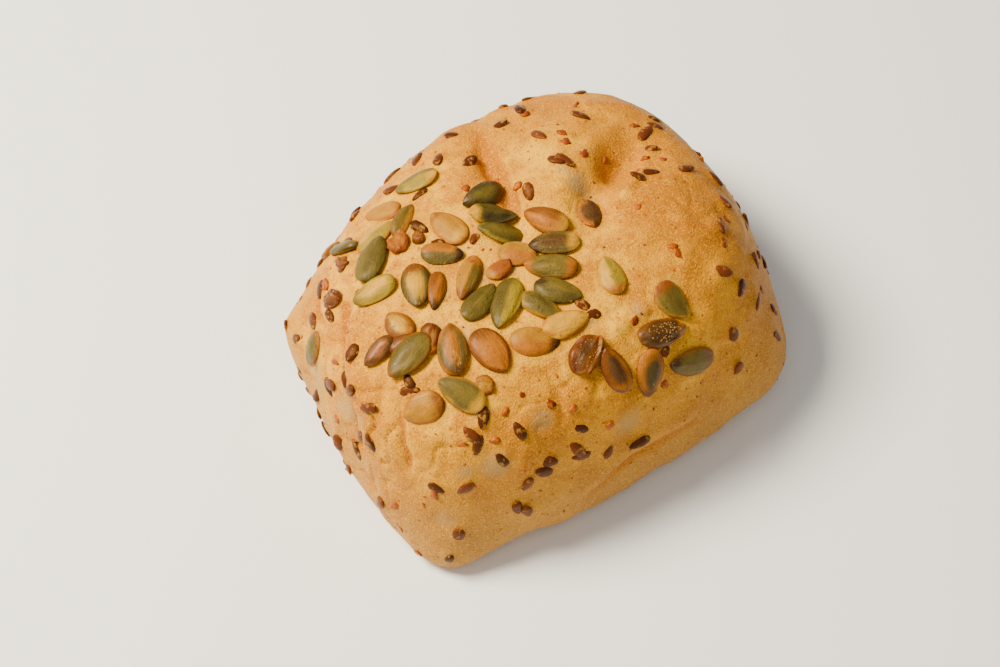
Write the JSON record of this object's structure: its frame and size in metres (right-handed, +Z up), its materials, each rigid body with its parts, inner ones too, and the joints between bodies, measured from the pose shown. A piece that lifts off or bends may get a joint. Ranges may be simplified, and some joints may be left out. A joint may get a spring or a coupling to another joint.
{
  "type": "seeded bread roll",
  "caption": "Square, domed baked bread roll with folds in its golden crust and hulled pumpkin seeds stuck in the top, resting on a flat base.",
  "frame": {"origin": "on the surface the roll rests on, under the middle of its bounding box", "axes": "+X along the roll's longer side, +Z up out of its top, +Y to the back, where the two folds run down"},
  "size_m": [0.115, 0.1008, 0.0519],
  "materials": {
    "crust": "baked crust, golden with a pale floury middle, dull with a faint sheen",
    "green_skin": "toasted olive-green seed skin, satin",
    "dark_green_skin": "dark olive-brown seed skin, satin",
    "pale_green_skin": "pale yellow-green seed skin, satin",
    "bare_kernel": "cream kernel with its skin rubbed off, matt",
    "patched_skin": "green-grey skin worn through to an orange kernel, satin",
    "toasted_seed": "orange-tan toasted kernel, satin",
    "roasted_brown_seed": "dark red-brown roasted seed, glossy"
  },
  "bodies": {
    "root": {"roll": "crust", "green_seed_01": "green_skin", "green_seed_02": "green_skin", "green_seed_03": "green_skin", "green_seed_04": "green_skin", "green_seed_05": "green_skin", "green_seed_06": "green_skin", "green_seed_07": "green_skin", "green_seed_08": "green_skin", "green_seed_09": "green_skin", "green_seed_10": "green_skin", "green_seed_11": "green_skin", "green_seed_12": "green_skin", "dark_green_seed_13": "dark_green_skin", "dark_green_seed_14": "dark_green_skin", "dark_green_seed_15": "dark_green_skin", "pale_green_seed_16": "pale_green_skin", "pale_green_seed_17": "pale_green_skin", "pale_green_seed_18": "pale_green_skin", "pale_green_seed_19": "pale_green_skin", "kernel_seed_20": "bare_kernel", "kernel_seed_21": "bare_kernel", "kernel_seed_22": "bare_kernel", "patched_seed_23": "patched_skin", "patched_seed_24": "patched_skin", "patched_seed_25": "patched_skin", "patched_seed_26": "patched_skin", "patched_seed_27": "patched_skin", "patched_seed_28": "patched_skin", "toasted_seed_29": "toasted_seed", "toasted_seed_30": "toasted_seed", "toasted_seed_31": "toasted_seed", "toasted_seed_32": "toasted_seed", "toasted_seed_33": "toasted_seed", "toasted_seed_34": "toasted_seed", "toasted_seed_35": "toasted_seed", "toasted_seed_36": "toasted_seed", "toasted_seed_37": "toasted_seed", "toasted_seed_38": "toasted_seed", "toasted_seed_39": "toasted_seed", "toasted_seed_40": "toasted_seed", "toasted_seed_41": "toasted_seed", "brown_seed_42": "roasted_brown_seed", "brown_seed_43": "roasted_brown_seed", "brown_seed_44": "roasted_brown_seed", "brown_seed_45": "roasted_brown_seed", "brown_seed_46": "roasted_brown_seed", "brown_seed_47": "roasted_brown_seed", "brown_seed_48": "roasted_brown_seed", "brown_seed_49": "roasted_brown_seed", "brown_seed_50": "roasted_brown_seed"}
  },
  "joints": []
}
